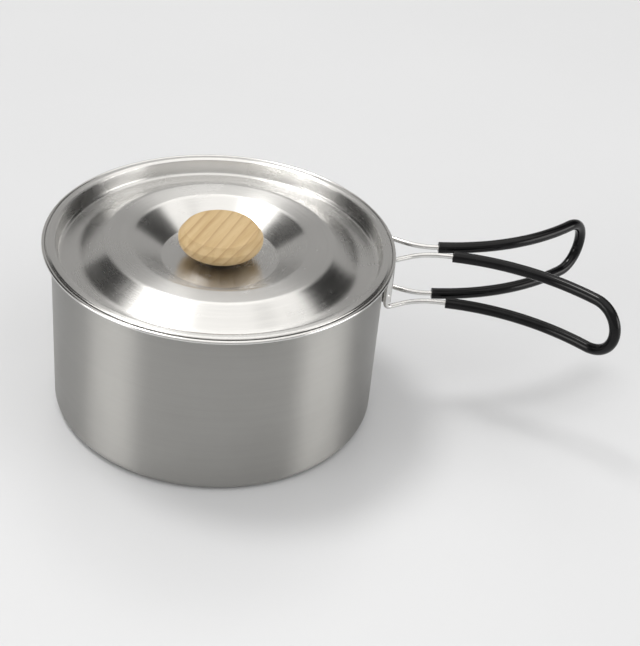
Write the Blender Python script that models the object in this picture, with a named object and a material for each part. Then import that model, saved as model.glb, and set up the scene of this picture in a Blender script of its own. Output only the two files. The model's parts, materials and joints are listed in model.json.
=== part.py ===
"""Camping saucepan: a drawn steel pot, a stepped lid with a turned wooden knob, and two folding wire handles.

Metres, +Z up. The origin is the centre of the pot's base, and the handle bracket is on +X.
"""

import math

import bmesh
import bpy
from mathutils import Vector

MM = 0.001
SAME_POINT = 0.001 * MM
SHARP_EDGE = math.radians(35)
GAP = 0.3 * MM  # between pieces that touch

# Pot
SHEET = 0.6 * MM
WALL_R = 78.2 * MM
RIM_Z = 87.0 * MM
BASE_FILLET = 4.5 * MM
FLANGE_TOP = RIM_Z - 0.2 * MM
FLARE_FILLET = 2.0 * MM
BEAD_R = 0.9 * MM
BEAD_CENTRE_R = 81.6 * MM
BEAD_CENTRE_Z = RIM_Z - 0.45 * MM
POT_SIDES = 48
FILLET_STEPS = 4
FLARE_STEPS = 3
BEAD_STEPS = 4

# Lid: heights are of its top face, from the middle outwards
DISC_Z = RIM_Z - 8.9 * MM
DISC_R = 27.5 * MM
PLATEAU_IN = (41.9 * MM, RIM_Z - 0.4 * MM)
PLATEAU_OUT = (53.3 * MM, RIM_Z + 0.1 * MM)
RING_IN = (65.7 * MM, RIM_Z - 7.0 * MM)
RING_OUT = (74.7 * MM, RIM_Z - 7.2 * MM)
RECESS_FOOT = (75.5 * MM, RIM_Z - 6.4 * MM)
RECESS_TOP = (76.2 * MM, RIM_Z + 0.3 * MM)
CREST = (77.1 * MM, RIM_Z + 0.95 * MM)
LID_EDGE = (80.4 * MM, RIM_Z + 0.75 * MM)
LID_HOLE_R = 2.3 * MM

# Knob and what fastens it
KNOB_TOP = RIM_Z + 6.0 * MM
KNOB_FACE_R = 16.6 * MM
KNOB_BEVEL = ((17.6 * MM, 0.8 * MM), (19.6 * MM, 3.4 * MM))  # (radius, depth below the top)
KNOB_R = 19.9 * MM
KNOB_BELT = 4.4 * MM  # depth at which the knob is widest
KNOB_HEIGHT = 11.6 * MM
KNOB_FOOT_R = 10.5 * MM
KNOB_SIDES = 32
TAPER_STEPS = 6
KNOB_BOTTOM = KNOB_TOP - KNOB_HEIGHT
COLLAR_R = 8.5 * MM
COLLAR_DRAFT = 0.4 * MM
INSERT_R = 3.7 * MM
INSERT_LENGTH = 6.8 * MM
SCREW_R = 2.0 * MM
SCREW_HEAD_R = 4.0 * MM
SCREW_HEAD_HEIGHT = 2.2 * MM
SCREW_HEAD_EDGE = 1.2 * MM  # of straight side, before the head's face is eased
SCREW_HEAD_FACE_R = 2.9 * MM
SCREW_TIP = 0.6 * MM
WASHER_R = 5.0 * MM
WASHER_THICKNESS = 0.8 * MM
SMALL_SIDES = 24

# Handle bracket: a strip that follows the wall and is rolled into a knuckle at each end
STRIP = 0.7 * MM
STRIP_TOP = RIM_Z - 8.0 * MM
STRIP_BOTTOM = RIM_Z - 27.6 * MM
PIVOT_X = 80.0 * MM
PIVOT_Y = 11.3 * MM
KNUCKLE_MID_R = 1.85 * MM
PLATE_HALF_ANGLE = math.radians(5.2)
PLATE_STEPS = 3
ROLL_SWEEP = 285  # degrees that each knuckle is rolled through
ROLL_STEPS = 15
RIVET_HEIGHTS = {"upper": RIM_Z - 12.8 * MM, "lower": RIM_Z - 22.8 * MM}
RIVET_R = 1.4 * MM
RIVET_HEAD_R = 2.8 * MM
RIVET_DOME = 1.3 * MM
RIVET_DOME_SHOULDER = (1.5 * MM, 0.85)  # radius, and its share of the dome's height
RIVET_TAIL = 0.9 * MM
RIVET_TAIL_DRAFT = 0.4 * MM
RIVET_SIDES = 16
DRILL_SIDES = 16
DRILL_LENGTH = 6 * MM

# Handle loops: each leg leaves its pivot towards the middle plane, bends to run straight, then flares out
WIRE_R = 1.2 * MM
UPPER_LEG = RIM_Z - 4.5 * MM
LOWER_LEG = RIM_Z - 31.1 * MM
TURN_IN = math.radians(29.6)
RUN_IN = 10.0 * MM
BEND_R = 29.4 * MM
RUN_STRAIGHT = 1.3 * MM
FLARE_R = 109.6 * MM
LOOP_LENGTH = 116.9 * MM
ELBOW_R = 2.4 * MM
WIRE_IN_KNUCKLE = 9.0 * MM
SLEEVE_R = 2.7 * MM
SLEEVE_BORE = 1.55 * MM
TUBE_SIDES = 8
LEG_STEPS = 13
END_STEPS = 8
ELBOW_STEPS = 4
BACK_SWING = math.radians(-4.5)
FRONT_SWING = math.radians(-9.8)
BACK_SLEEVE_START = 27.8 * MM
FRONT_SLEEVE_START = 31.3 * MM


def clear_scene():
    for obj in list(bpy.data.objects):
        bpy.data.objects.remove(obj, do_unlink=True)


def material(name, colour, metallic, roughness):
    made = bpy.data.materials.new(name)
    made.use_nodes = True
    shader = made.node_tree.nodes["Principled BSDF"]
    shader.inputs["Base Color"].default_value = (*colour, 1.0)
    shader.inputs["Metallic"].default_value = metallic
    shader.inputs["Roughness"].default_value = roughness
    return made


def object_from(name, bm, finish, parent=None):
    """Turns a bmesh into an object with one material, shaded smooth between its sharp edges."""
    bmesh.ops.recalc_face_normals(bm, faces=bm.faces[:])
    mesh = bpy.data.meshes.new(name)
    bm.to_mesh(mesh)
    bm.free()
    mesh.shade_smooth()
    mesh.set_sharp_from_angle(angle=SHARP_EDGE)
    mesh.materials.append(finish)
    obj = bpy.data.objects.new(name, mesh)
    obj.parent = parent
    bpy.context.scene.collection.objects.link(obj)
    return obj


def arc(centre, radius, start, end, steps):
    """Points on an arc, angles in degrees, both ends included."""
    angles = [math.radians(start + (end - start) * i / steps) for i in range(steps + 1)]
    return [(centre[0] + radius * math.cos(a), centre[1] + radius * math.sin(a)) for a in angles]


def turned(name, profile, sides, finish, closed=False):
    """Spins a profile of (radius, height) points about Z. A closed profile is a ring with a hole in it."""
    bm = bmesh.new()
    points = [bm.verts.new((r, 0.0, z)) for r, z in profile]
    pairs = list(zip(points, points[1:]))
    if closed:
        pairs.append((points[-1], points[0]))
    edges = [bm.edges.new(pair) for pair in pairs]
    bmesh.ops.spin(
        bm,
        geom=points + edges,
        cent=(0, 0, 0),
        axis=(0, 0, 1),
        angle=math.tau,
        steps=sides,
        use_merge=True,
    )
    bmesh.ops.remove_doubles(bm, verts=bm.verts[:], dist=SAME_POINT)
    return object_from(name, bm, finish)


def offset_line(points, distance):
    """The same open line moved sideways by a distance, to the left of its direction."""
    moved = []
    for i, point in enumerate(points):
        before = Vector(point) - Vector(points[i - 1]) if i else None
        after = Vector(points[i + 1]) - Vector(point) if i + 1 < len(points) else None
        directions = [d.normalized() for d in (before, after) if d is not None]
        mean = sum(directions, Vector((0, 0))).normalized()
        reach = distance / mean.dot(directions[0])
        moved.append((point[0] - mean.y * reach, point[1] + mean.x * reach))
    return moved


def drill_for_rivet(obj, height):
    """A Boolean cut by a hidden cylinder that lies along X through the wall."""
    mesh = bpy.data.meshes.new(obj.name + "_drill")
    bm = bmesh.new()
    radius = RIVET_R + GAP
    bmesh.ops.create_cone(
        bm, cap_ends=True, segments=DRILL_SIDES, radius1=radius, radius2=radius, depth=DRILL_LENGTH
    )
    bm.to_mesh(mesh)
    bm.free()
    drill = bpy.data.objects.new(obj.name + "_drill", mesh)
    drill.rotation_euler = (0, math.pi / 2, 0)
    drill.location = (WALL_R, 0, height)
    drill.hide_render = True
    drill.display_type = "WIRE"
    bpy.context.scene.collection.objects.link(drill)
    cut = obj.modifiers.new("hole", "BOOLEAN")
    cut.operation = "DIFFERENCE"
    cut.solver = "EXACT"
    cut.object = drill


def make_pot(steel):
    flare_centre = (WALL_R + FLARE_FILLET, FLANGE_TOP - SHEET - FLARE_FILLET)
    inside = [(0.0, SHEET)]
    inside += arc((WALL_R - BASE_FILLET, BASE_FILLET), BASE_FILLET - SHEET, -90, 0, FILLET_STEPS)
    inside += arc(flare_centre, FLARE_FILLET + SHEET, 180, 90, FLARE_STEPS)
    bead_start = 180 - math.degrees(math.asin((FLANGE_TOP - BEAD_CENTRE_Z) / BEAD_R))
    bead_end = -180 + math.degrees(math.asin((BEAD_CENTRE_Z - FLANGE_TOP + SHEET) / BEAD_R))
    bead_centre = (BEAD_CENTRE_R, BEAD_CENTRE_Z)
    bead = arc(bead_centre, BEAD_R, bead_start, 0, BEAD_STEPS)
    bead += arc(bead_centre, BEAD_R, 0, bead_end, BEAD_STEPS)[1:]
    outside = arc(flare_centre, FLARE_FILLET, 90, 180, FLARE_STEPS)
    outside += arc((WALL_R - BASE_FILLET, BASE_FILLET), BASE_FILLET, 0, -90, FILLET_STEPS)
    outside.append((0.0, 0.0))
    pot = turned("pot_body", inside + bead + outside, POT_SIDES, steel)
    for height in RIVET_HEIGHTS.values():
        drill_for_rivet(pot, height)


def make_lid(steel):
    top = [(LID_HOLE_R, DISC_Z), (DISC_R, DISC_Z), PLATEAU_IN, PLATEAU_OUT]
    top += [RING_IN, RING_OUT, RECESS_FOOT, RECESS_TOP, CREST, LID_EDGE]
    underside = offset_line(top, -SHEET)
    turned("lid", top + underside[::-1], POT_SIDES, steel, closed=True)


def make_knob(wood, brass, plastic):
    """A turned knob with a hole in its foot for a brass insert, standing on a dark plastic collar."""
    face = [(0.0, KNOB_TOP), (KNOB_FACE_R, KNOB_TOP)]
    bevel = [(r, KNOB_TOP - depth) for r, depth in KNOB_BEVEL]
    belt_z = KNOB_TOP - KNOB_BELT
    taper_r = KNOB_R - KNOB_FOOT_R
    squash = (KNOB_HEIGHT - KNOB_BELT) / taper_r
    taper = [
        (r, belt_z + (z - belt_z) * squash)
        for r, z in arc((KNOB_FOOT_R, belt_z), taper_r, 0, -90, TAPER_STEPS)
    ]
    hole_r = INSERT_R + GAP
    hole_top = KNOB_BOTTOM + INSERT_LENGTH + 2 * GAP
    hole = [(hole_r, KNOB_BOTTOM), (hole_r, hole_top), (0.0, hole_top)]
    turned("knob", face + bevel + taper + hole, KNOB_SIDES, wood)

    bore = SCREW_R + GAP
    insert = [(bore, KNOB_BOTTOM + GAP), (INSERT_R, KNOB_BOTTOM + GAP)]
    insert += [(INSERT_R, KNOB_BOTTOM + GAP + INSERT_LENGTH), (bore, KNOB_BOTTOM + GAP + INSERT_LENGTH)]
    turned("knob_insert", insert, SMALL_SIDES, brass, closed=True)

    foot, head = DISC_Z + GAP, KNOB_BOTTOM - GAP
    collar = [(bore, foot), (COLLAR_R, foot), (COLLAR_R - COLLAR_DRAFT, head), (bore, head)]
    turned("knob_collar", collar, SMALL_SIDES, plastic, closed=True)


def make_knob_fastener(steel):
    lid_under = DISC_Z - SHEET
    washer_top = lid_under - GAP
    washer_bottom = washer_top - WASHER_THICKNESS
    bore = SCREW_R + GAP
    washer = [(bore, washer_bottom), (WASHER_R, washer_bottom), (WASHER_R, washer_top), (bore, washer_top)]
    turned("knob_washer", washer, SMALL_SIDES, steel, closed=True)

    head_top = washer_bottom - GAP
    tip = KNOB_BOTTOM + INSERT_LENGTH
    face = head_top - SCREW_HEAD_HEIGHT
    crown = [(SCREW_HEAD_R, head_top), (SCREW_HEAD_R, head_top - SCREW_HEAD_EDGE)]
    crown += [(SCREW_HEAD_FACE_R, face), (0.0, face)]
    shank = [(0.0, tip), (SCREW_R - SCREW_TIP, tip), (SCREW_R, tip - SCREW_TIP), (SCREW_R, head_top)]
    turned("knob_screw", shank + crown, SMALL_SIDES, steel)


def bracket_line():
    """The middle line of the bracket's strip, seen from above, from one rolled knuckle to the other."""
    plate_r = WALL_R + GAP + STRIP / 2
    plate = [
        (plate_r * math.cos(a), plate_r * math.sin(a))
        for a in (PLATE_HALF_ANGLE * i / PLATE_STEPS for i in range(PLATE_STEPS + 1))
    ]
    towards_axis = math.degrees(math.atan2(PIVOT_Y, PIVOT_X)) + 180
    roll = arc((PIVOT_X, PIVOT_Y), KNUCKLE_MID_R, towards_axis, towards_axis - ROLL_SWEEP, ROLL_STEPS)
    half = plate + roll
    mirrored = [(x, -y) for x, y in half[:0:-1]]
    return mirrored + half


def make_bracket(steel):
    line = bracket_line()
    outline = offset_line(line, STRIP / 2) + offset_line(line, -STRIP / 2)[::-1]
    bm = bmesh.new()
    count = len(line)
    low = [bm.verts.new((x, y, STRIP_BOTTOM)) for x, y in outline]
    high = [bm.verts.new((x, y, STRIP_TOP)) for x, y in outline]
    for i in range(2 * count):
        j = (i + 1) % (2 * count)
        bm.faces.new((low[i], low[j], high[j], high[i]))
    for i in range(count - 1):
        opposite = 2 * count - 1 - i
        for level in (low, high):
            bm.faces.new((level[i], level[i + 1], level[opposite - 1], level[opposite]))
    bracket = object_from("handle_bracket", bm, steel)
    for height in RIVET_HEIGHTS.values():
        drill_for_rivet(bracket, height)


def make_rivets(steel):
    """Each rivet is turned about its own axis and laid along X, through the bracket and the wall."""
    outer_face = STRIP + 2 * GAP
    inner_face = -SHEET - GAP
    shoulder_r, shoulder_share = RIVET_DOME_SHOULDER
    dome = [(0.0, outer_face + RIVET_DOME), (shoulder_r, outer_face + shoulder_share * RIVET_DOME)]
    dome.append((RIVET_HEAD_R, outer_face))
    shank = [(RIVET_R, outer_face), (RIVET_R, inner_face)]
    tail = [(RIVET_HEAD_R, inner_face), (RIVET_HEAD_R - RIVET_TAIL_DRAFT, inner_face - RIVET_TAIL)]
    tail.append((0.0, inner_face - RIVET_TAIL))
    for place, height in RIVET_HEIGHTS.items():
        rivet = turned("bracket_rivet_" + place, dome + shank + tail, RIVET_SIDES, steel)
        rivet.rotation_euler = (0, math.pi / 2, 0)
        rivet.location = (WALL_R, 0, height)


def leg_point(s):
    """(outwards, towards the middle plane) at a distance s along a leg from its pivot, before it swings."""
    bend = BEND_R * TURN_IN
    bend_end = RUN_IN + bend
    flare_start = bend_end + RUN_STRAIGHT
    first = min(s, RUN_IN)
    x, y = first * math.cos(TURN_IN), first * math.sin(TURN_IN)
    if s > RUN_IN:
        left = TURN_IN - (min(s, bend_end) - RUN_IN) / BEND_R
        x += BEND_R * (math.sin(TURN_IN) - math.sin(left))
        y += BEND_R * (math.cos(left) - math.cos(TURN_IN))
    if s > bend_end:
        x += min(s, flare_start) - bend_end
    if s > flare_start:
        turn = (s - flare_start) / FLARE_R
        x += FLARE_R * math.sin(turn)
        y -= FLARE_R * (1 - math.cos(turn))
    return x, y


def loop_points(start, inward):
    """The loop's middle line from a distance along the upper leg, round the end and back along the lower leg.

    inward is the sign of Y that points to the middle plane.
    """
    end_r = (UPPER_LEG - LOWER_LEG) / 2
    end_centre = (UPPER_LEG + LOWER_LEG) / 2
    leg_end = LOOP_LENGTH - end_r
    upper = [(start + (leg_end - start) * i / LEG_STEPS, UPPER_LEG) for i in range(LEG_STEPS)]
    lower = [(s, LOWER_LEG) for s, _ in upper[::-1]]
    end = [(leg_end + r, z) for r, z in arc((0, end_centre), end_r, 90, -90, END_STEPS)]
    points = []
    for s, z in upper + end + lower:
        x, y = leg_point(s)
        points.append(Vector((x, inward * y, z)))
    return points


def wire_points(inward):
    """The loop's line with an elbow at each end of it, into the knuckle from above and from below."""
    heading = Vector((math.cos(TURN_IN), inward * math.sin(TURN_IN), 0))
    elbow = arc((ELBOW_R, -ELBOW_R), ELBOW_R, 180, 90, ELBOW_STEPS)
    top_end = [Vector((0, 0, UPPER_LEG - WIRE_IN_KNUCKLE))]
    top_end += [heading * x + Vector((0, 0, UPPER_LEG + z)) for x, z in elbow]
    low_end = [Vector((0, 0, LOWER_LEG + WIRE_IN_KNUCKLE))]
    low_end += [heading * x + Vector((0, 0, LOWER_LEG - z)) for x, z in elbow]
    return top_end + loop_points(2 * ELBOW_R, inward) + low_end[::-1]


def rings_along(points, radius, bm):
    """Rings of vertices square to a line, each carried on from the last with no twist."""
    rings = []
    side = (points[1] - points[0]).orthogonal()
    turns = [math.tau * k / TUBE_SIDES for k in range(TUBE_SIDES)]
    for i, point in enumerate(points):
        tangent = (points[min(i + 1, len(points) - 1)] - points[max(i - 1, 0)]).normalized()
        side = (side - tangent * side.dot(tangent)).normalized()
        up = tangent.cross(side)
        rings.append([bm.verts.new(point + (side * math.cos(t) + up * math.sin(t)) * radius) for t in turns])
    return rings


def skin(rings, bm):
    for ring, following in zip(rings, rings[1:]):
        for k in range(TUBE_SIDES):
            j = (k + 1) % TUBE_SIDES
            bm.faces.new((ring[k], ring[j], following[j], following[k]))


def make_wire(name, inward, pivot, steel):
    bm = bmesh.new()
    rings = rings_along(wire_points(inward), WIRE_R, bm)
    skin(rings, bm)
    bm.faces.new(rings[0])
    bm.faces.new(rings[-1])
    object_from(name, bm, steel, pivot)


def make_sleeve(name, start, inward, pivot, vinyl):
    """A tube with an open bore, so its two walls are joined by a flat ring at each end."""
    bm = bmesh.new()
    points = loop_points(start, inward)
    outer = rings_along(points, SLEEVE_R, bm)
    bore = rings_along(points, SLEEVE_BORE, bm)
    skin(outer, bm)
    skin(bore, bm)
    for end in (0, -1):
        for k in range(TUBE_SIDES):
            j = (k + 1) % TUBE_SIDES
            bm.faces.new((outer[end][k], outer[end][j], bore[end][j], bore[end][k]))
    object_from(name, bm, vinyl, pivot)


def make_handle(side, inward, swing, sleeve_start, steel, vinyl):
    """A wire loop and its grip sleeve, on an empty that stands on the pivot and turns with the loop."""
    pivot = bpy.data.objects.new("pivot_" + side, None)
    pivot.location = (PIVOT_X, -inward * PIVOT_Y, 0)
    pivot.rotation_euler = (0, 0, swing)
    bpy.context.scene.collection.objects.link(pivot)
    make_wire("handle_wire_" + side, inward, pivot, steel)
    make_sleeve("grip_sleeve_" + side, sleeve_start, inward, pivot, vinyl)


def main():
    clear_scene()
    brushed = material("brushed_steel", (0.60, 0.59, 0.57), 1.0, 0.34)
    spun = material("spun_steel", (0.66, 0.65, 0.63), 1.0, 0.24)
    bright = material("bright_steel", (0.70, 0.70, 0.69), 1.0, 0.18)
    wood = material("pine", (0.66, 0.46, 0.24), 0.0, 0.55)
    brass = material("brass", (0.72, 0.55, 0.25), 1.0, 0.35)
    plastic = material("dark_plastic", (0.03, 0.025, 0.02), 0.0, 0.4)
    vinyl = material("black_vinyl", (0.01, 0.01, 0.012), 0.0, 0.22)
    make_pot(brushed)
    make_lid(spun)
    make_knob(wood, brass, plastic)
    make_knob_fastener(bright)
    make_bracket(bright)
    make_rivets(bright)
    make_handle("back", -1, BACK_SWING, BACK_SLEEVE_START, bright, vinyl)
    make_handle("front", 1, FRONT_SWING, FRONT_SLEEVE_START, bright, vinyl)


main()
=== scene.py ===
"""The looks of a camping saucepan: satin steel pot, spun steel lid, pine knob and sleeved wire handles.

Everything is in metres in the frame's own coordinates: +Z up, the pot's axis on Z, the handle bracket on +X.
"""

import json
import math

import bpy
from mathutils import Matrix, Vector


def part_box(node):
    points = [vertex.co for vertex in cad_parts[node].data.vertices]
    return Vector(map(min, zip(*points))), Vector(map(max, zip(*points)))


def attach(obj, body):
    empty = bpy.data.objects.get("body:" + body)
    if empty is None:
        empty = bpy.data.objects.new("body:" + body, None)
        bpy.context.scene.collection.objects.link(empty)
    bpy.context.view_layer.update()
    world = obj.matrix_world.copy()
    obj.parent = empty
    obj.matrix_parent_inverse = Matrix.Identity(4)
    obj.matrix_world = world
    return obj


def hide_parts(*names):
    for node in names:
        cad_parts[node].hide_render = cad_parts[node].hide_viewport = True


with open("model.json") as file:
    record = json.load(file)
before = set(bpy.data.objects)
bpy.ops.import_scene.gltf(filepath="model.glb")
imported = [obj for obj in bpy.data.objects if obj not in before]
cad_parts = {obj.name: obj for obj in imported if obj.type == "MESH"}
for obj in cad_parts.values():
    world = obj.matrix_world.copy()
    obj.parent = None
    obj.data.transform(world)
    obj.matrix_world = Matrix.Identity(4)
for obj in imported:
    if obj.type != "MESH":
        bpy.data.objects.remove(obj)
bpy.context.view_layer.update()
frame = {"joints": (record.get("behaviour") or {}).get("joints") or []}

MM = 0.001
TINY = 1e-9

# Read from the frame
_, POT_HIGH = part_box("pot_body")
_, LID_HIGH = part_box("lid")
KNOB_LOW, KNOB_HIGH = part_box("knob")
WASHER_LOW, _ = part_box("knob_washer")
_, INSERT_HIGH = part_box("knob_insert")
SCREW_LOW, SCREW_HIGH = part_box("knob_screw")
BRACKET_LOW, BRACKET_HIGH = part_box("handle_bracket")
JOINTS = {joint["name"]: joint for joint in frame["joints"]}

# Repeated from the CAD model: the gap between pieces that touch, and the bore round the knob's screw
GAP = 0.3 * MM
BORE_R = 2.3 * MM

# Pot, repeated from the CAD model where its box does not give the size
SHEET = 0.6 * MM
WALL_R = 78.2 * MM
BASE_FILLET = 4.5 * MM
FLARE_FILLET = 2.0 * MM
BEAD_R = 0.9 * MM
BEAD_CENTRE_R = POT_HIGH.x - BEAD_R
BEAD_CENTRE_Z = POT_HIGH.z - BEAD_R
RIM_Z = POT_HIGH.z - 0.45 * MM
FLANGE_TOP = RIM_Z - 0.2 * MM
DISH_R = 62.0 * MM
DISH_DEPTH = 0.35 * MM
DISH_SLOPE_INSIDE = 3.0 * MM
DISH_SLOPE_BELOW = 1.2 * MM
FILLET_STEPS = 14
FLARE_STEPS = 10
BEAD_STEPS = 10
POT_STEP = 6.0 * MM
SHELL_SIDES = 240

# Lid: each crease is (radius, height from the rim, how far it is rounded)
LID_CREASES = (
    (BORE_R, -8.9 * MM, 0),
    (27.5 * MM, -8.9 * MM, 1.2 * MM),
    (41.9 * MM, -0.4 * MM, 6.0 * MM),
    (53.3 * MM, 0.1 * MM, 6.0 * MM),
    (65.7 * MM, -7.0 * MM, 8.0 * MM),
    (75.1 * MM, -7.2 * MM, 2.2 * MM),
    (76.2 * MM, 0.35 * MM, 0.5 * MM),
    (77.6 * MM, 0.95 * MM, 1.8 * MM),
    (79.6 * MM, 0.93 * MM, 1.5 * MM),
    (LID_HIGH.x, 0.62 * MM, 0),
)
LID_LIP = 0.15 * MM
LID_STEP = 5.0 * MM
CREASE_STEPS = 8

# Knob: each corner of the bevel is (radius, depth below the top, how far it is rounded)
KNOB_R = KNOB_HIGH.x
KNOB_TOP = KNOB_HIGH.z
KNOB_BOTTOM = KNOB_LOW.z
KNOB_FACE_R = KNOB_R * 0.5
KNOB_BEVEL = ((17.2 * MM, 0.0, 0.5 * MM), (19.9 * MM, 3.7 * MM, 1.4 * MM))
KNOB_BELT = 5.0 * MM
KNOB_FOOT_R = 10.5 * MM
KNOB_TAPER_STEPS = 20
KNOB_STEP = 1.5 * MM
KNOB_SIDES = 96

# Collar, washer and insert: (piece, node, slot, bevel of the outer edges, sides)
RINGS = (
    ("knob_collar_ring", "knob_collar", "collar_plastic", 0.25 * MM, 64),
    ("knob_washer_ring", "knob_washer", "bright_steel", 0.2 * MM, 48),
    ("knob_insert_tube", "knob_insert", "insert_brass", 0.3 * MM, 40),
)

# Screw, and the two slots of its cross recess
SHANK_R = 2.0 * MM
SHANK_TIP_SHARE = 0.7
SHANK_TIP_TAPER = 0.6 * MM
HEAD_SIDE = 1.0 * MM
HEAD_ROUND = 1.2 * MM
HEAD_STEPS = 8
SCREW_SIDES = 64
SLOT_WIDTH = 0.7 * MM
SLOT_LENGTH = 4.2 * MM
SLOT_DEPTH = 1.3 * MM
SLOT_FLOOR_SHARE = 0.55
SLOT_CLEAR = 1.0 * MM

# Bracket: a strip with a rolled knuckle at each end, and a dimple in each knuckle
STRIP = 0.7 * MM
KNUCKLE_MID_R = 1.85 * MM
PLATE_HALF_ANGLE = math.radians(5.2)
PLATE_STEPS = 8
ROLL_SWEEP = 285
ROLL_STEPS = 48
BRACKET_EASE = 0.12 * MM
BRACKET_STEP = 0.35 * MM
BRACKET_ROWS = 56
DIMPLE_Z = RIM_Z - 22.5 * MM
DIMPLE_R = 1.05 * MM
DIMPLE_DEPTH = 0.6 * MM
DIMPLE_OUTWARDS = 0.35

# Rivets
RIVET_SHANK_R = 1.4 * MM
RIVET_TAIL_SIDE = 0.5 * MM
RIVET_TAIL_DRAFT = 0.1 * MM
RIVET_TAIL_CHAMFER = 0.5 * MM
RIVET_DOME_STEPS = 12
RIVET_SIDES = 48

# Handle loops
WIRE_R = 1.2 * MM
UPPER_LEG = RIM_Z - 4.5 * MM
LOWER_LEG = RIM_Z - 31.1 * MM
TURN_IN = math.radians(29.6)
RUN_IN = 10.0 * MM
BEND_R = 29.4 * MM
RUN_STRAIGHT = 1.3 * MM
FLARE_R = 109.6 * MM
LOOP_LENGTH = 116.9 * MM
ELBOW_R = 2.4 * MM
AFTER_ELBOW = 0.6 * MM
WIRE_IN_KNUCKLE = 9.0 * MM
LEG_STEPS = 60
END_STEPS = 32
ELBOW_STEPS = 12
WIRE_EASE = 0.25 * MM
WIRE_SIDES = 20
HANDLES = {
    "back": {"inward": -1, "swing": math.radians(-4.5), "sleeve_start": 27.8 * MM},
    "front": {"inward": 1, "swing": math.radians(-9.8), "sleeve_start": 31.3 * MM},
}

# Sleeves: the shoulder is the corner halfway round the cut end, as shares of the ease along and inwards
SLEEVE_R = 2.7 * MM
SLEEVE_BORE = 1.55 * MM
SLEEVE_EASE = 0.22 * MM
SHOULDER_ALONG = 0.35
SHOULDER_IN = 0.3
SLEEVE_SIDES = 28

# Colours, as linear red, green and blue. A pair is a range that a noise moves between
# The pot wall's satin steel is darker than the lid's and the rim's steel: painted shade for the dimmer light
# on the wall
SATIN_SHADED_STEEL = (0.40, 0.395, 0.38)
POLISHED = (0.68, 0.675, 0.66)
BRIGHT = (0.70, 0.695, 0.68)
VINYL = ((0.003, 0.003, 0.0035), (0.007, 0.007, 0.0075))
PINE_EARLY = ((0.55, 0.405, 0.215), (0.485, 0.34, 0.165))
PINE_LATE = (0.30, 0.175, 0.065)
PINE_FLECK = (0.30, 0.19, 0.085)
# The collar's very dark browns are painted shade for the shadow under the knob
COLLAR_SHADE_BROWNS = ((0.022, 0.017, 0.013), (0.034, 0.027, 0.021))
BRASS = ((0.74, 0.55, 0.24), (0.60, 0.43, 0.18))
FLOOR = ((0.645, 0.655, 0.67), (0.66, 0.67, 0.685))

# Pine: how far the knob's middle is from the heart of the tree, the rings to the metre, how far they
# wander, and how they are turned, in degrees
PINE_HEART = 0.12
PINE_RINGS = 235.0
PINE_WANDER = 0.0016
PINE_TURN = (3, -5, 58)

# Floor, camera and studio, with angles in degrees. The camera's azimuth is where it stands, seen from the pot.
# A light or a dark patch is (azimuth from the camera's side, elevation, full within, gone beyond, strength)
FLOOR_HALF = 40.0
FLOOR_DROP = 0.05 * MM
CAMERA_PLACE = (-0.0551, -0.5563, 0.4327)
CAMERA_AZIMUTH = -5.66
CAMERA_TURN = -10.8
CAMERA_TILT = 34.82
CAMERA_ROLL = 5.84
CAMERA_LENS = 78.02
CAMERA_SENSOR = 36.0
CAMERA_NEAR = 0.01
ROOM_COLOUR = (1.0, 0.985, 0.965, 1.0)
ROOM_WALLS = 0.46
ROOM_CEILING = 1.43
ROOM_CEILING_EDGE = (41, 52)
ROOM_DARK = (
    (-127, 40, 13, 18, 1.0),
    (130, 37, 13, 20, 1.0),
    (-117, 25, 12, 20, 1.0),
    (115, 25, 12, 20, 1.0),
    (91, 70, 2, 7, 0.4),
)
ROOM_BRIGHT = (
    (-67, 8, 14, 21, 4.0),
    (74, 8, 14, 22, 4.0),
    (-128, 68, 6, 10, 16.0),
    (178, 50, 6, 13, 0.9),
)


# ---------------------------------------------------------------- node helpers


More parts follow.
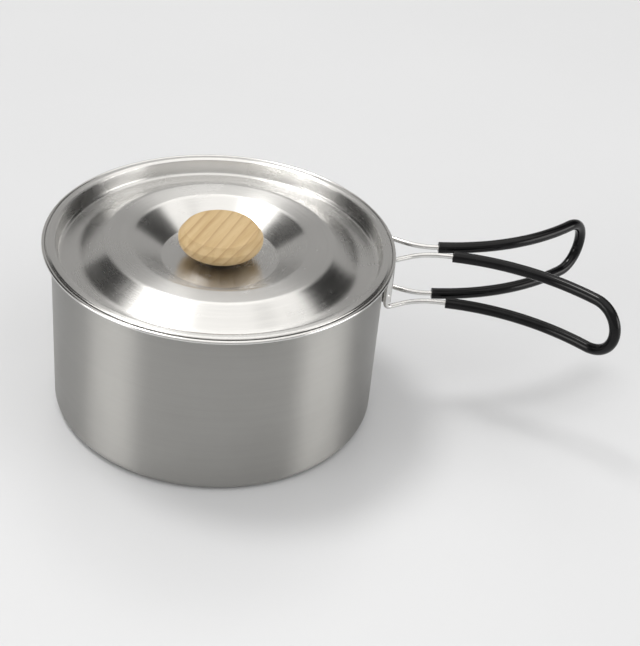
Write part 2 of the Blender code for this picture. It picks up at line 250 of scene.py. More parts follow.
class Nodes:
    """A short way to write a node tree."""

    def __init__(self, tree):
        self.tree = tree

    def new(self, kind, **settings):
        node = self.tree.nodes.new(kind)
        for name, value in settings.items():
            setattr(node, name, value)
        return node

    def put(self, target, value):
        """Sets a socket to a value, or links it to another socket."""
        if isinstance(value, bpy.types.NodeSocket):
            self.tree.links.new(value, target)
        else:
            target.default_value = value

    def maths(self, operation, first, second=0.0):
        node = self.new("ShaderNodeMath", operation=operation)
        self.put(node.inputs[0], first)
        self.put(node.inputs[1], second)
        return node.outputs[0]

    def add(self, first, second):
        return self.maths("ADD", first, second)

    def times(self, first, second):
        return self.maths("MULTIPLY", first, second)

    def vector(self, operation, first, second=(0, 0, 0)):
        node = self.new("ShaderNodeVectorMath", operation=operation)
        self.put(node.inputs[0], first)
        self.put(node.inputs[1], second)
        return node.outputs["Value" if operation in ("DOT_PRODUCT", "LENGTH") else "Vector"]

    def combine(self, x, y, z):
        node = self.new("ShaderNodeCombineXYZ")
        for socket, value in zip(node.inputs, (x, y, z)):
            self.put(socket, value)
        return node.outputs[0]

    def separate(self, vector):
        node = self.new("ShaderNodeSeparateXYZ")
        self.put(node.inputs[0], vector)
        return node.outputs

    def noise(self, vector, scale, detail=2.0, roughness=0.5):
        node = self.new("ShaderNodeTexNoise")
        self.put(node.inputs["Vector"], vector)
        self.put(node.inputs["Scale"], scale)
        self.put(node.inputs["Detail"], detail)
        self.put(node.inputs["Roughness"], roughness)
        return node.outputs["Fac"]

    def spread(self, value, low, high, to_low=0.0, to_high=1.0):
        """Maps low..high to to_low..to_high, clamped, with soft ends."""
        node = self.new("ShaderNodeMapRange", interpolation_type="SMOOTHSTEP")
        self.put(node.inputs["Value"], value)
        for name, number in (("From Min", low), ("From Max", high), ("To Min", to_low), ("To Max", to_high)):
            self.put(node.inputs[name], number)
        return node.outputs[0]

    def mix(self, amount, first, second):
        node = self.new("ShaderNodeMix", data_type="RGBA")
        self.put(node.inputs[0], amount)
        for socket, value in ((node.inputs[6], first), (node.inputs[7], second)):
            self.put(socket, (*value, 1.0) if isinstance(value, tuple) else value)
        return node.outputs[2]

    def bump(self, height, strength, distance, under=None):
        node = self.new("ShaderNodeBump")
        self.put(node.inputs["Strength"], strength)
        self.put(node.inputs["Distance"], distance)
        self.put(node.inputs["Height"], height)
        if under is not None:
            self.put(node.inputs["Normal"], under)
        return node.outputs[0]


def new_material(name):
    made = bpy.data.materials.new(name)
    made.use_nodes = True
    nodes = Nodes(made.node_tree)
    shader = made.node_tree.nodes["Principled BSDF"]
    place = nodes.new("ShaderNodeTexCoord").outputs["Object"]
    return made, nodes, shader, place


def set_shader(nodes, shader, **values):
    for name, value in values.items():
        nodes.put(shader.inputs[name.replace("_", " ")], value)


# ------------------------------------------------------------------- materials


def turned_steel(
    name, colour, roughness, unevenness, anisotropy, grain_scale, upright, relief, polished_beyond=None
):
    """Steel with a grain that runs round the Z axis, so it spreads light up a wall or along a radius."""
    made, nodes, shader, place = new_material(name)
    x, y, z = nodes.separate(place)
    outwards = nodes.combine(x, y, 0.0)
    radius = nodes.vector("LENGTH", outwards)
    round_x, round_y, _ = nodes.separate(nodes.vector("NORMALIZE", outwards))
    across = z if upright else nodes.add(radius, z)

    def rings(scale, along):
        """Noise that is drawn out round the axis."""
        axes = ((round_x, along), (round_y, along), (across, scale))
        scaled = (nodes.times(axis, size) for axis, size in axes)
        return nodes.noise(nodes.combine(*scaled), 1.0, 3.0, 0.6)

    grain = rings(grain_scale, 2.6)
    bands = rings(grain_scale * 0.06, 0.8)
    smudge = nodes.noise(place, 34.0, 3.0, 0.55)
    fingers = nodes.noise(place, 150.0, 2.0, 0.5)
    grained = nodes.spread(grain, 0.3, 0.7, -unevenness, unevenness)
    smudged = nodes.spread(smudge, 0.45, 0.75, roughness, roughness + 0.05)
    rough = nodes.add(nodes.add(grained, smudged), nodes.spread(fingers, 0.55, 0.8, 0.0, 0.03))
    tint = nodes.add(nodes.spread(grain, 0.25, 0.75, 0.0, 0.7), nodes.spread(bands, 0.3, 0.7, 0.0, 0.3))
    base = nodes.mix(tint, tuple(c * 0.93 for c in colour), colour)
    if polished_beyond:
        edge = nodes.spread(radius, polished_beyond, polished_beyond + 1.2 * MM)
        base = nodes.mix(edge, base, POLISHED)
        rough = nodes.times(rough, nodes.maths("SUBTRACT", 1.0, nodes.times(edge, 0.45)))
    tangent = nodes.new("ShaderNodeTangent", direction_type="RADIAL", axis="Z")
    set_shader(
        nodes,
        shader,
        Base_Color=base,
        Metallic=1.0,
        Roughness=rough,
        Anisotropic=anisotropy,
        Anisotropic_Rotation=0.25,
        Tangent=tangent.outputs[0],
        Normal=nodes.bump(grain, 0.1, relief),
    )
    return made


def bright_steel(name):
    """Polished wire and small hardware, with faint scuffs."""
    made, nodes, shader, place = new_material(name)
    scuff = nodes.noise(place, 900.0, 3.0, 0.6)
    broad = nodes.noise(place, 120.0, 2.0)
    rough = nodes.add(nodes.spread(scuff, 0.4, 0.8, 0.13, 0.26), nodes.spread(broad, 0.3, 0.7, -0.02, 0.03))
    base = nodes.mix(nodes.spread(broad, 0.3, 0.75), BRIGHT, tuple(c * 0.9 for c in BRIGHT))
    scratched = nodes.bump(scuff, 0.12, 0.02 * MM)
    set_shader(nodes, shader, Base_Color=base, Metallic=1.0, Roughness=rough, Normal=scratched)
    return made


def black_vinyl(name):
    """Glossy dipped sleeve: nearly smooth, with slow ripples and a few duller patches."""
    made, nodes, shader, place = new_material(name)
    ripple = nodes.noise(place, 160.0, 2.0)
    skin = nodes.noise(place, 1500.0, 2.0)
    rough = nodes.add(nodes.spread(ripple, 0.35, 0.75, 0.07, 0.13), nodes.spread(skin, 0.3, 0.8, 0.0, 0.02))
    base = nodes.mix(nodes.spread(ripple, 0.3, 0.8), *VINYL)
    normal = nodes.bump(ripple, 0.12, 0.3 * MM, nodes.bump(skin, 0.05, 0.04 * MM))
    set_shader(nodes, shader, Base_Color=base, Roughness=rough, Normal=normal)
    set_shader(nodes, shader, IOR=1.4, Specular_IOR_Level=0.3)
    return made


def pine(name):
    """Pale softwood with its growth rings as thin lines across the face, and fine fibres along them."""
    made, nodes, shader, place = new_material(name)
    turn = nodes.new("ShaderNodeMapping", vector_type="TEXTURE")
    turn.inputs["Rotation"].default_value = [math.radians(angle) for angle in PINE_TURN]
    nodes.put(turn.inputs["Vector"], place)
    u, v, w = nodes.separate(turn.outputs[0])

    def drawn_out(along, across, detail, roughness=0.5):
        """Noise that is stretched along the grain."""
        scaled = (nodes.times(axis, scale) for axis, scale in ((u, along), (v, across), (w, across)))
        return nodes.noise(nodes.combine(*scaled), 1.0, detail, roughness)

    wander = nodes.times(drawn_out(18.0, 90.0, 2.0), PINE_WANDER)
    from_heart = nodes.add(nodes.add(v, PINE_HEART), wander)
    ring_place = nodes.vector("LENGTH", nodes.combine(0.0, from_heart, w))
    phase = nodes.maths("FRACT", nodes.times(ring_place, PINE_RINGS))
    late = nodes.maths("POWER", phase, 5.0)
    soft_late = nodes.times(late, nodes.spread(phase, 0.90, 1.0, 1.0, 0.0))
    fibre = drawn_out(55.0, 1700.0, 3.0, 0.6)
    streak = drawn_out(22.0, 330.0, 2.0)
    early = nodes.mix(nodes.spread(streak, 0.35, 0.7), *PINE_EARLY)
    body = nodes.mix(nodes.times(soft_late, 0.85), early, PINE_LATE)
    flecked = nodes.mix(nodes.spread(fibre, 0.56, 0.8, 0.0, 0.3), body, PINE_FLECK)
    rough = nodes.add(nodes.spread(fibre, 0.3, 0.7, 0.52, 0.66), nodes.times(soft_late, -0.05))
    normal = nodes.bump(soft_late, 0.15, 0.1 * MM, nodes.bump(fibre, 0.25, 0.08 * MM))
    set_shader(nodes, shader, Base_Color=flecked, Roughness=rough, Normal=normal)
    return made


def dark_plastic(name):
    """A moulded spacer, dull: its very dark brown is painted shade for the shadow under the knob, and it has a
    faint mould texture.
    """
    made, nodes, shader, place = new_material(name)
    cast = nodes.noise(place, 1300.0, 2.0)
    base = nodes.mix(nodes.spread(cast, 0.3, 0.7), *COLLAR_SHADE_BROWNS)
    rough = nodes.spread(cast, 0.3, 0.7, 0.38, 0.5)
    set_shader(nodes, shader, Base_Color=base, Roughness=rough, Normal=nodes.bump(cast, 0.15, 0.03 * MM))
    return made


def brass(name):
    """Plain turned brass, duller and browner where it is worn."""
    made, nodes, shader, place = new_material(name)
    wear = nodes.noise(place, 700.0, 3.0)
    base = nodes.mix(nodes.spread(wear, 0.35, 0.7), *BRASS)
    rough = nodes.spread(wear, 0.3, 0.8, 0.25, 0.42)
    set_shader(nodes, shader, Base_Color=base, Metallic=1.0, Roughness=rough)
    return made


def floor_material():
    made, nodes, shader, place = new_material("floor")
    cloud = nodes.noise(place, 3.0, 3.0)
    set_shader(nodes, shader, Base_Color=nodes.mix(nodes.spread(cloud, 0.3, 0.7), *FLOOR), Roughness=0.32)
    return made


# -------------------------------------------------------------------- geometry


def add_piece(name, points, faces, finish, body, slot, *replaced, sharp=40):
    mesh = bpy.data.meshes.new(name)
    mesh.from_pydata([tuple(p) for p in points], [], faces)
    mesh.validate()
    mesh.shade_smooth()
    mesh.set_sharp_from_angle(angle=math.radians(sharp))
    mesh.materials.append(finish)
    piece = bpy.data.objects.new(name, mesh)
    bpy.context.scene.collection.objects.link(piece)
    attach(piece, body)
    if replaced:
        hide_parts(*replaced)
    return piece


def arc(centre, radius, start, end, steps):
    """Points on an arc, angles in degrees, both ends included."""
    angles = [math.radians(start + (end - start) * i / steps) for i in range(steps + 1)]
    return [(centre[0] + radius * math.cos(a), centre[1] + radius * math.sin(a)) for a in angles]


def rounded(corners):
    """A line through corners of (x, y, radius), each corner turned into an arc of that radius."""
    line = []
    for i, (x, y, radius) in enumerate(corners):
        if not radius or i in (0, len(corners) - 1):
            line.append((x, y))
            continue
        here = Vector((x, y))
        back = (Vector(corners[i - 1][:2]) - here).normalized()
        ahead = (Vector(corners[i + 1][:2]) - here).normalized()
        half = back.angle(ahead) / 2
        reach = radius / math.tan(half)
        centre = here + (back + ahead).normalized() * (radius / math.sin(half))
        start = here + back * reach - centre
        end = here + ahead * reach - centre
        sweep = start.angle_signed(end)
        for k in range(CREASE_STEPS + 1):
            turned_by = Matrix.Rotation(-sweep * k / CREASE_STEPS, 2)
            line.append(tuple(centre + turned_by @ start))
    return line


def offset_line(points, distance):
    """The same open line moved sideways by a distance, to the left of its direction."""
    moved = []
    for i, point in enumerate(points):
        before = Vector(point) - Vector(points[i - 1]) if i else None
        after = Vector(points[i + 1]) - Vector(point) if i + 1 < len(points) else None
        directions = [d.normalized() for d in (before, after) if d is not None]
        mean = sum(directions, Vector((0, 0))).normalized()
        reach = distance / mean.dot(directions[0])
        moved.append((point[0] - mean.y * reach, point[1] + mean.x * reach))
    return moved


def split_long(line, longest):
    """Adds points to a line so that no step is longer than a length."""
    split = [line[0]]
    for start, end in zip(line, line[1:]):
        count = max(1, math.ceil(math.dist(start, end) / longest))
        for k in range(1, count + 1):
            split.append(tuple(a + (b - a) * k / count for a, b in zip(start, end)))
    return split


def turned(name, profile, sides, finish, body, slot, *replaced, closed=False, place=None, sharp=40):
    """A profile of (radius, height) points spun about Z. It faces outwards if it runs down its outer side."""
    points, faces, rings = [], [], []
    for r, z in profile:
        if r < TINY:
            rings.append([len(points)] * sides)
            points.append(Vector((0, 0, z)))
            continue
        rings.append(list(range(len(points), len(points) + sides)))
        for k in range(sides):
            turn = math.tau * k / sides
            points.append(Vector((r * math.cos(turn), r * math.sin(turn), z)))
    pairs = list(zip(rings, rings[1:])) + ([(rings[-1], rings[0])] if closed else [])
    for upper, lower in pairs:
        for k in range(sides):
            j = (k + 1) % sides
            corner = [upper[k], lower[k], lower[j], upper[j]]
            face = [c for n, c in enumerate(corner) if c not in corner[:n]]
            if len(face) > 2:
                faces.append(face)
    if place is not None:
        points = [place @ p for p in points]
    return add_piece(name, points, faces, finish, body, slot, *replaced, sharp=sharp)


def make_pot(steel):
    """The sheet's profile from the middle of the floor up the inside, round the bead and down the outside."""
    foot_centre = (WALL_R - BASE_FILLET, BASE_FILLET)
    flare_centre = (WALL_R + FLARE_FILLET, FLANGE_TOP - SHEET - FLARE_FILLET)
    bead_centre = (BEAD_CENTRE_R, BEAD_CENTRE_Z)
    bead_start = 180 - math.degrees(math.asin((FLANGE_TOP - BEAD_CENTRE_Z) / BEAD_R))
    bead_end = -180 + math.degrees(math.asin((BEAD_CENTRE_Z - FLANGE_TOP + SHEET) / BEAD_R))
    dish_top = SHEET + DISH_DEPTH
    inside = [(0.0, dish_top), (DISH_R - DISH_SLOPE_INSIDE, dish_top), (DISH_R, SHEET)]
    inside += arc(foot_centre, BASE_FILLET - SHEET, -90, 0, FILLET_STEPS)
    inside += arc(flare_centre, FLARE_FILLET + SHEET, 180, 90, FLARE_STEPS)
    bead = arc(bead_centre, BEAD_R, bead_start, 0, BEAD_STEPS)
    bead += arc(bead_centre, BEAD_R, 0, bead_end, BEAD_STEPS)[1:]
    outside = arc(flare_centre, FLARE_FILLET, 90, 180, FLARE_STEPS)
    outside += arc(foot_centre, BASE_FILLET, 0, -90, FILLET_STEPS)
    outside += [(DISH_R, 0.0), (DISH_R - DISH_SLOPE_BELOW, DISH_DEPTH), (0.0, DISH_DEPTH)]
    profile = split_long(inside + bead + outside, POT_STEP)
    turned("pot_shell", profile, SHELL_SIDES, steel, "pot", "pot_steel", "pot_body", sharp=50)


def make_lid(steel):
    """The creased sheet with its hole, and a blunt lip at its outer edge."""
    top = split_long(rounded([(r, RIM_Z + z, soft) for r, z, soft in LID_CREASES]), LID_STEP)
    underside = offset_line(top, -SHEET)
    edge_r = LID_HIGH.x
    top[-1] = (edge_r - LID_LIP, top[-1][1])
    underside[-1] = (edge_r - LID_LIP, underside[-1][1])
    middle = (top[-1][1] + underside[-1][1]) / 2
    lip = [(edge_r, middle + LID_LIP), (edge_r, middle - LID_LIP)]
    profile = top + lip + underside[::-1]
    turned("lid_shell", profile, SHELL_SIDES, steel, "lid", "lid_steel", "lid", closed=True, sharp=50)


def make_knob(wood):
    """A flat face, a bevel out to the widest belt, and a round underside down to the foot, with its hole."""
    belt_z = KNOB_TOP - KNOB_BELT
    crown = [(KNOB_FACE_R, KNOB_TOP, 0)]
    crown += [(r, KNOB_TOP - depth, soft) for r, depth, soft in KNOB_BEVEL]
    crown += [(KNOB_R, belt_z, 0)]
    taper_r = KNOB_R - KNOB_FOOT_R
    squash = (belt_z - KNOB_BOTTOM) / taper_r
    quarter = arc((KNOB_FOOT_R, belt_z), taper_r, 0, -90, KNOB_TAPER_STEPS)[1:]
    taper = [(r, belt_z + (z - belt_z) * squash) for r, z in quarter]
    hole_r = INSERT_HIGH.x + GAP
    hole_top = INSERT_HIGH.z + GAP
    hole = [(hole_r, KNOB_BOTTOM), (hole_r, hole_top), (0.0, hole_top)]
    profile = split_long([(0.0, KNOB_TOP)] + rounded(crown) + taper + hole, KNOB_STEP)
    turned("knob_turned", profile, KNOB_SIDES, wood, "lid", "knob_wood", "knob", sharp=50)


def make_rings(*finishes):
    """The knob's collar, washer and insert, each a ring as tall and wide as its CAD box."""
    for (name, node, slot, edge, sides), finish in zip(RINGS, finishes):
        low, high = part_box(node)
        outer = high.x
        profile = [(BORE_R, high.z), (outer - edge, high.z), (outer, high.z - edge)]
        profile += [(outer, low.z + edge), (outer - edge, low.z), (BORE_R, low.z)]
        turned(name, profile, sides, finish, "lid", slot, node, closed=True)


def make_screw(steel):
    """A pan head screw, head down, with a cross recess sunk into the head's face."""
    head_r = SCREW_HIGH.x
    head_low = SCREW_LOW.z
    head_top = WASHER_LOW.z - GAP
    profile = [(0.0, SCREW_HIGH.z), (SHANK_R * SHANK_TIP_SHARE, SCREW_HIGH.z)]
    profile += [(SHANK_R, SCREW_HIGH.z - SHANK_TIP_TAPER), (SHANK_R, head_top)]
    profile += [(head_r, head_top), (head_r, head_top - HEAD_SIDE)]
    profile += arc((head_r - HEAD_ROUND, head_low + HEAD_ROUND), HEAD_ROUND, 0, -90, HEAD_STEPS)
    profile += [(0.0, head_low)]
    screw = turned("knob_screw_pan", profile, SCREW_SIDES, steel, "lid", "bright_steel", "knob_screw")
    for turn in (0, math.pi / 2):
        cut_slot(screw, turn, head_low)


def cut_slot(piece, turn, face_z):
    """Cuts one straight slot up into a face that looks down, and applies the cut."""
    corners = []
    for z, share in ((face_z - SLOT_CLEAR, 1.0), (face_z + SLOT_DEPTH, SLOT_FLOOR_SHARE)):
        for sx, sy in ((-1, -1), (1, -1), (1, 1), (-1, 1)):
            corner = Vector((sx * SLOT_LENGTH / 2 * share, sy * SLOT_WIDTH / 2, z))
            corners.append(Matrix.Rotation(turn, 3, "Z") @ corner)
    faces = [(3, 2, 1, 0), (4, 5, 6, 7), (0, 1, 5, 4), (1, 2, 6, 5), (2, 3, 7, 6), (3, 0, 4, 7)]
    mesh = bpy.data.meshes.new("slot")
    mesh.from_pydata([tuple(c) for c in corners], [], faces)
    cutter = bpy.data.objects.new("slot", mesh)
    bpy.context.scene.collection.objects.link(cutter)
    cut = piece.modifiers.new("slot", "BOOLEAN")
    cut.operation = "DIFFERENCE"
    cut.object = cutter
    graph = bpy.context.evaluated_depsgraph_get()
    made = bpy.data.meshes.new_from_object(piece.evaluated_get(graph))
    piece.modifiers.clear()
    piece.data = made
    bpy.data.objects.remove(cutter)


def bracket_line():
    """The middle line of the bracket's strip, seen from above, from one rolled knuckle to the other."""
    pivot = JOINTS["handle_back_fold"]["pos_m"]
    plate_r = WALL_R + GAP + STRIP / 2
    angles = [PLATE_HALF_ANGLE * i / PLATE_STEPS for i in range(PLATE_STEPS + 1)]
    plate = [(plate_r * math.cos(a), plate_r * math.sin(a)) for a in angles]
    towards_axis = math.degrees(math.atan2(pivot[1], pivot[0])) + 180
    roll = arc(pivot[:2], KNUCKLE_MID_R, towards_axis, towards_axis - ROLL_SWEEP, ROLL_STEPS)
    half = plate + roll
    return [(x, -y) for x, y in half[:0:-1]] + half


def dimpled(here, z, pivots):
    """A point of the strip, seen from above, pushed towards its pivot where it lies in a knuckle's dimple."""
    for pivot in pivots:
        out = here - pivot
        if KNUCKLE_MID_R < out.length < KNUCKLE_MID_R + STRIP:
            facing = Vector((DIMPLE_OUTWARDS, math.copysign(1.0, pivot.y))).normalized()
            across = out.normalized().angle(facing) * out.length
            share = math.hypot(across, z - DIMPLE_Z) / DIMPLE_R
            if share < 1:
                here = here - out.normalized() * (DIMPLE_DEPTH * (1 - share * share) ** 2)
    return here


def make_bracket(steel):
    """The strip as a grid of columns along its line and rows up its height, with its edges eased."""
    line = split_long(bracket_line(), BRACKET_STEP)
    pivots = [Vector(JOINTS[name]["pos_m"][:2]) for name in ("handle_back_fold", "handle_front_fold")]
    low, high = BRACKET_LOW.z, BRACKET_HIGH.z
    tall = high - low - 2 * BRACKET_EASE
    rows = [(low, BRACKET_EASE), (low + BRACKET_EASE, 0.0)]
    rows += [(low + BRACKET_EASE + tall * k / BRACKET_ROWS, 0.0) for k in range(1, BRACKET_ROWS)]
    rows += [(high - BRACKET_EASE, 0.0), (high, BRACKET_EASE)]
    points, grid = [], []
    for z, inset in rows:
        sides = offset_line(line, STRIP / 2 - inset) + offset_line(line, -STRIP / 2 + inset)[::-1]
        grid.append(list(range(len(points), len(points) + len(sides))))
        points += [Vector((*dimpled(Vector(side), z, pivots), z)) for side in sides]
    columns = len(grid[0])
    faces = []
    for lower, upper in zip(grid, grid[1:]):
        for k in range(columns):
            j = (k + 1) % columns
            faces.append((lower[k], upper[k], upper[j], lower[j]))
    for level, flip in ((grid[0], False), (grid[-1], True)):
        for k in range(columns // 2 - 1):
            face = (level[k], level[k + 1], level[columns - 2 - k], level[columns - 1 - k])
            faces.append(face[::-1] if flip else face)
    add_piece("bracket_strip", points, faces, steel, "pot", "bright_steel", "handle_bracket", sharp=35)


def make_rivets(steel):
    """Each rivet is turned about its own axis and laid along X, a low dome outside and flat inside."""
    plate_face = WALL_R + STRIP + 2 * GAP
    inner_face = WALL_R - SHEET - GAP
    for place in ("upper", "lower"):
        node = "bracket_rivet_" + place
        low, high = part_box(node)
        head_r = high.y
        dome_h = high.x - plate_face
        sphere_r = (head_r**2 + dome_h**2) / (2 * dome_h)
        widest = math.degrees(math.asin(head_r / sphere_r))
        dome = arc((0, high.x - sphere_r), sphere_r, 90, 90 - widest, RIVET_DOME_STEPS)
        profile = [(0.0, dome[0][1])] + dome[1:]
        profile += [(RIVET_SHANK_R, plate_face), (RIVET_SHANK_R, inner_face), (head_r, inner_face)]
        profile += [(head_r - RIVET_TAIL_DRAFT, inner_face - RIVET_TAIL_SIDE)]
        profile += [(head_r - RIVET_TAIL_CHAMFER, low.x), (0.0, low.x)]
        lay = Matrix.Translation((0, 0, (low.z + high.z) / 2)) @ Matrix.Rotation(math.pi / 2, 4, "Y")
        turned("rivet_" + place, profile, RIVET_SIDES, steel, "pot", "bright_steel", node, place=lay)


def leg_point(s):
    """(outwards, towards the middle plane) at a distance s along a leg, in the loop's own frame."""
    bend_end = RUN_IN + BEND_R * TURN_IN
    flare_start = bend_end + RUN_STRAIGHT
    first = min(s, RUN_IN)
    x, y = first * math.cos(TURN_IN), first * math.sin(TURN_IN)
    if s > RUN_IN:
        left = TURN_IN - (min(s, bend_end) - RUN_IN) / BEND_R
        x += BEND_R * (math.sin(TURN_IN) - math.sin(left))
        y += BEND_R * (math.cos(left) - math.cos(TURN_IN))
    if s > bend_end:
        x += min(s, flare_start) - bend_end
    if s > flare_start:
        turn = (s - flare_start) / FLARE_R
        x += FLARE_R * math.sin(turn)
        y -= FLARE_R * (1 - math.cos(turn))
    return x, y


def loop_points(start, inward):
    """The loop's middle line from a distance along the upper leg, round the end and back along the lower."""
    end_r = (UPPER_LEG - LOWER_LEG) / 2
    end_centre = (UPPER_LEG + LOWER_LEG) / 2
    leg_end = LOOP_LENGTH - end_r
    upper = [(start + (leg_end - start) * i / LEG_STEPS, UPPER_LEG) for i in range(LEG_STEPS)]
    lower = [(s, LOWER_LEG) for s, _ in upper[::-1]]
    end = [(leg_end + r, z) for r, z in arc((0, end_centre), end_r, 90, -90, END_STEPS)]
    points = []
    for s, z in upper + end + lower:
        x, y = leg_point(s)
        points.append(Vector((x, inward * y, z)))
    return points


def wire_points(inward):
    """The loop's line with an elbow at each end of it, into the knuckle from above and from below."""
    heading = Vector((math.cos(TURN_IN), inward * math.sin(TURN_IN), 0))
    elbow = arc((ELBOW_R, -ELBOW_R), ELBOW_R, 180, 90, ELBOW_STEPS)
    top_end = [Vector((0, 0, UPPER_LEG - WIRE_IN_KNUCKLE))]
    top_end += [heading * x + Vector((0, 0, UPPER_LEG + z)) for x, z in elbow]
    low_end = [Vector((0, 0, LOWER_LEG + WIRE_IN_KNUCKLE))]
    low_end += [heading * x + Vector((0, 0, LOWER_LEG - z)) for x, z in elbow]
    return top_end + loop_points(ELBOW_R + AFTER_ELBOW, inward) + low_end[::-1]


def tube(stations, sides):
    """Points and faces of a skin through (point, radius) stations, its rings carried along with no twist."""
    centres = [Vector(p) for p, _ in stations]
    tangents = []
    for i in range(len(centres)):
        ahead = centres[min(i + 1, len(centres) - 1)] - centres[max(i - 1, 0)]
        tangents.append(ahead.normalized() if ahead.length > TINY else tangents[-1])
    points, faces = [], []
    side = tangents[0].orthogonal()
    for (point, radius), tangent in zip(stations, tangents):
        side = (side - tangent * side.dot(tangent)).normalized()
        up = tangent.cross(side)
        for k in range(sides):
            turn = math.tau * k / sides
            points.append(Vector(point) + (side * math.cos(turn) + up * math.sin(turn)) * radius)
    for i in range(len(stations) - 1):
        for k in range(sides):
            j = (k + 1) % sides
            faces.append((i * sides + k, i * sides + j, (i + 1) * sides + j, (i + 1) * sides + k))
    return points, faces


def make_wire(name, inward, to_world, steel, body, node):
    """The bare wire of one loop, with its two cut ends bevelled."""
    line = wire_points(inward)
    first = (line[0] - line[1]).normalized()
    last = (line[-1] - line[-2]).normalized()
    stations = [(line[0] + first * WIRE_EASE, WIRE_R - WIRE_EASE)]
    stations += [(p, WIRE_R) for p in line]
    stations += [(line[-1] + last * WIRE_EASE, WIRE_R - WIRE_EASE)]
    points, faces = tube(stations, WIRE_SIDES)
    faces.append(tuple(range(WIRE_SIDES))[::-1])
    faces.append(tuple(range(len(points) - WIRE_SIDES, len(points))))
    add_piece(name, [to_world @ p for p in points], faces, steel, body, "bright_steel", node)


def sleeve_end(tip, inwards):
    """The stations of a sleeve's cut end, from its tip to its full radius."""
    shoulder = (tip + inwards * SLEEVE_EASE * SHOULDER_ALONG, SLEEVE_R - SLEEVE_EASE * SHOULDER_IN)
    return [(tip, SLEEVE_R - SLEEVE_EASE), shoulder, (tip + inwards * SLEEVE_EASE, SLEEVE_R)]


def make_sleeve(name, start, inward, to_world, vinyl, body, node):
    """The sleeve's outer skin and its bore, with the cut ends slightly rounded over."""
    line = loop_points(start, inward)
    outer = sleeve_end(line[0], (line[1] - line[0]).normalized())
    outer += [(p, SLEEVE_R) for p in line[1:-1]]
    outer += sleeve_end(line[-1], (line[-2] - line[-1]).normalized())[::-1]
    points, faces = tube(outer, SLEEVE_SIDES)
    bore, bore_faces = tube([(p, SLEEVE_BORE) for p in line], SLEEVE_SIDES)
    first_bore = len(points)
    points += bore
    faces += [tuple(first_bore + c for c in face)[::-1] for face in bore_faces]
    last_outer, last_bore = first_bore - SLEEVE_SIDES, len(points) - SLEEVE_SIDES
    for k in range(SLEEVE_SIDES):
        j = (k + 1) % SLEEVE_SIDES
        faces.append((k, first_bore + k, first_bore + j, j))
        faces.append((last_outer + j, last_bore + j, last_bore + k, last_outer + k))
    add_piece(name, [to_world @ p for p in points], faces, vinyl, body, "grip_vinyl", node, sharp=60)


def make_handles(steel, vinyl):
    """Each handle is built in its loop's own frame and swung to where the photograph shows it."""
    for side, facts in HANDLES.items():
        body = "handle_" + side
        pivot = JOINTS[body + "_fold"]["pos_m"]
        to_world = Matrix.Translation((pivot[0], pivot[1], 0)) @ Matrix.Rotation(facts["swing"], 4, "Z")
        start, inward = facts["sleeve_start"], facts["inward"]
        make_wire("wire_" + side, inward, to_world, steel, body, "handle_wire_" + side)
        make_sleeve("sleeve_" + side, start, inward, to_world, vinyl, body, "grip_sleeve_" + side)


# ------------------------------------------------------- stage, light and camera


def make_floor():
    corners = [(x * FLOOR_HALF, y * FLOOR_HALF, 0) for x, y in ((-1, -1), (1, -1), (1, 1), (-1, 1))]
    mesh = bpy.data.meshes.new("floor")
    mesh.from_pydata(corners, [], [(0, 1, 2, 3)])
    mesh.materials.append(floor_material())
    floor = bpy.data.objects.new("floor", mesh)
    floor.location.z = -FLOOR_DROP
    bpy.context.scene.collection.objects.link(floor)


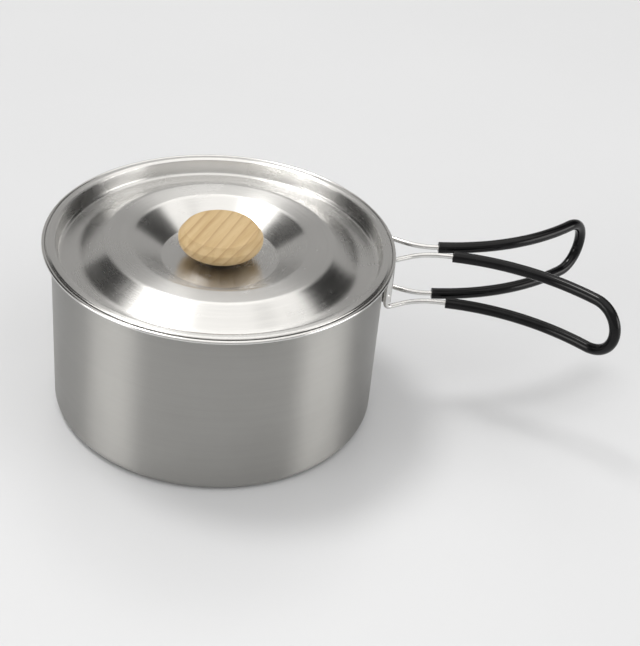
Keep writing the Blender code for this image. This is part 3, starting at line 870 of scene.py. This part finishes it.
def make_room():
    """Studio surroundings, by direction: a bright ceiling, dimmer walls, windows, lamps and dark patches."""
    world = bpy.data.worlds.new("studio")
    bpy.context.scene.world = world
    world.use_nodes = True
    nodes = Nodes(world.node_tree)
    background = world.node_tree.nodes["Background"]
    towards = nodes.vector("NORMALIZE", nodes.new("ShaderNodeTexCoord").outputs["Generated"])
    _, _, z = nodes.separate(towards)

    def lobe(azimuth, elevation, inner, outer):
        """1 within inner degrees of a direction and 0 beyond outer. Azimuth 90 is on the camera's right."""
        a, e = math.radians(azimuth + CAMERA_AZIMUTH), math.radians(elevation)
        middle = (math.sin(a) * math.cos(e), -math.cos(a) * math.cos(e), math.sin(e))
        closeness = nodes.vector("DOT_PRODUCT", towards, middle)
        return nodes.spread(closeness, math.cos(math.radians(outer)), math.cos(math.radians(inner)))

    ceiling_edge = (math.sin(math.radians(elevation)) for elevation in ROOM_CEILING_EDGE)
    level = nodes.spread(z, *ceiling_edge, ROOM_WALLS, ROOM_CEILING)
    for *where, strength in ROOM_DARK:
        level = nodes.times(level, nodes.maths("SUBTRACT", 1.0, nodes.times(lobe(*where), strength)))
    for *where, strength in ROOM_BRIGHT:
        level = nodes.add(level, nodes.times(lobe(*where), strength))
    nodes.put(background.inputs["Color"], ROOM_COLOUR)
    nodes.put(background.inputs["Strength"], level)


def make_camera():
    """About 0.71 m from the pot's base, looking 35 degrees down, and rolled by 6 degrees."""
    data = bpy.data.cameras.new("camera")
    data.sensor_width = CAMERA_SENSOR
    data.lens = CAMERA_LENS
    data.clip_start = CAMERA_NEAR
    camera = bpy.data.objects.new("camera", data)
    turn = Matrix.Rotation(math.radians(CAMERA_TURN), 4, "Z")
    tilt = Matrix.Rotation(math.radians(90 - CAMERA_TILT), 4, "X")
    roll = Matrix.Rotation(math.radians(CAMERA_ROLL), 4, "Z")
    camera.matrix_world = Matrix.Translation(CAMERA_PLACE) @ (turn @ tilt) @ roll
    bpy.context.scene.collection.objects.link(camera)
    bpy.context.scene.camera = camera


# The pot's satin steel has the darker colour, painted shade on the wall; its rolled edge goes back to the
# polished colour
satin_shaded_steel = turned_steel(
    "satin_steel_painted_shade",
    SATIN_SHADED_STEEL,
    roughness=0.37,
    unevenness=0.03,
    anisotropy=0.90,
    grain_scale=5200.0,
    upright=True,
    relief=0.03 * MM,
    polished_beyond=WALL_R + 1.0 * MM,
)
spun = turned_steel(
    "spun_steel",
    POLISHED,
    roughness=0.245,
    unevenness=0.012,
    anisotropy=0.95,
    grain_scale=3600.0,
    upright=False,
    relief=0.004 * MM,
)
bright = bright_steel("bright_steel")
make_pot(satin_shaded_steel)
make_lid(spun)
make_knob(pine("pine"))
make_rings(dark_plastic("dark_plastic"), bright, brass("brass"))
make_screw(bright)
make_bracket(bright)
make_rivets(bright)
make_handles(bright, black_vinyl("black_vinyl"))
make_floor()
make_room()
make_camera()
bpy.context.scene.view_settings.view_transform = "Standard"
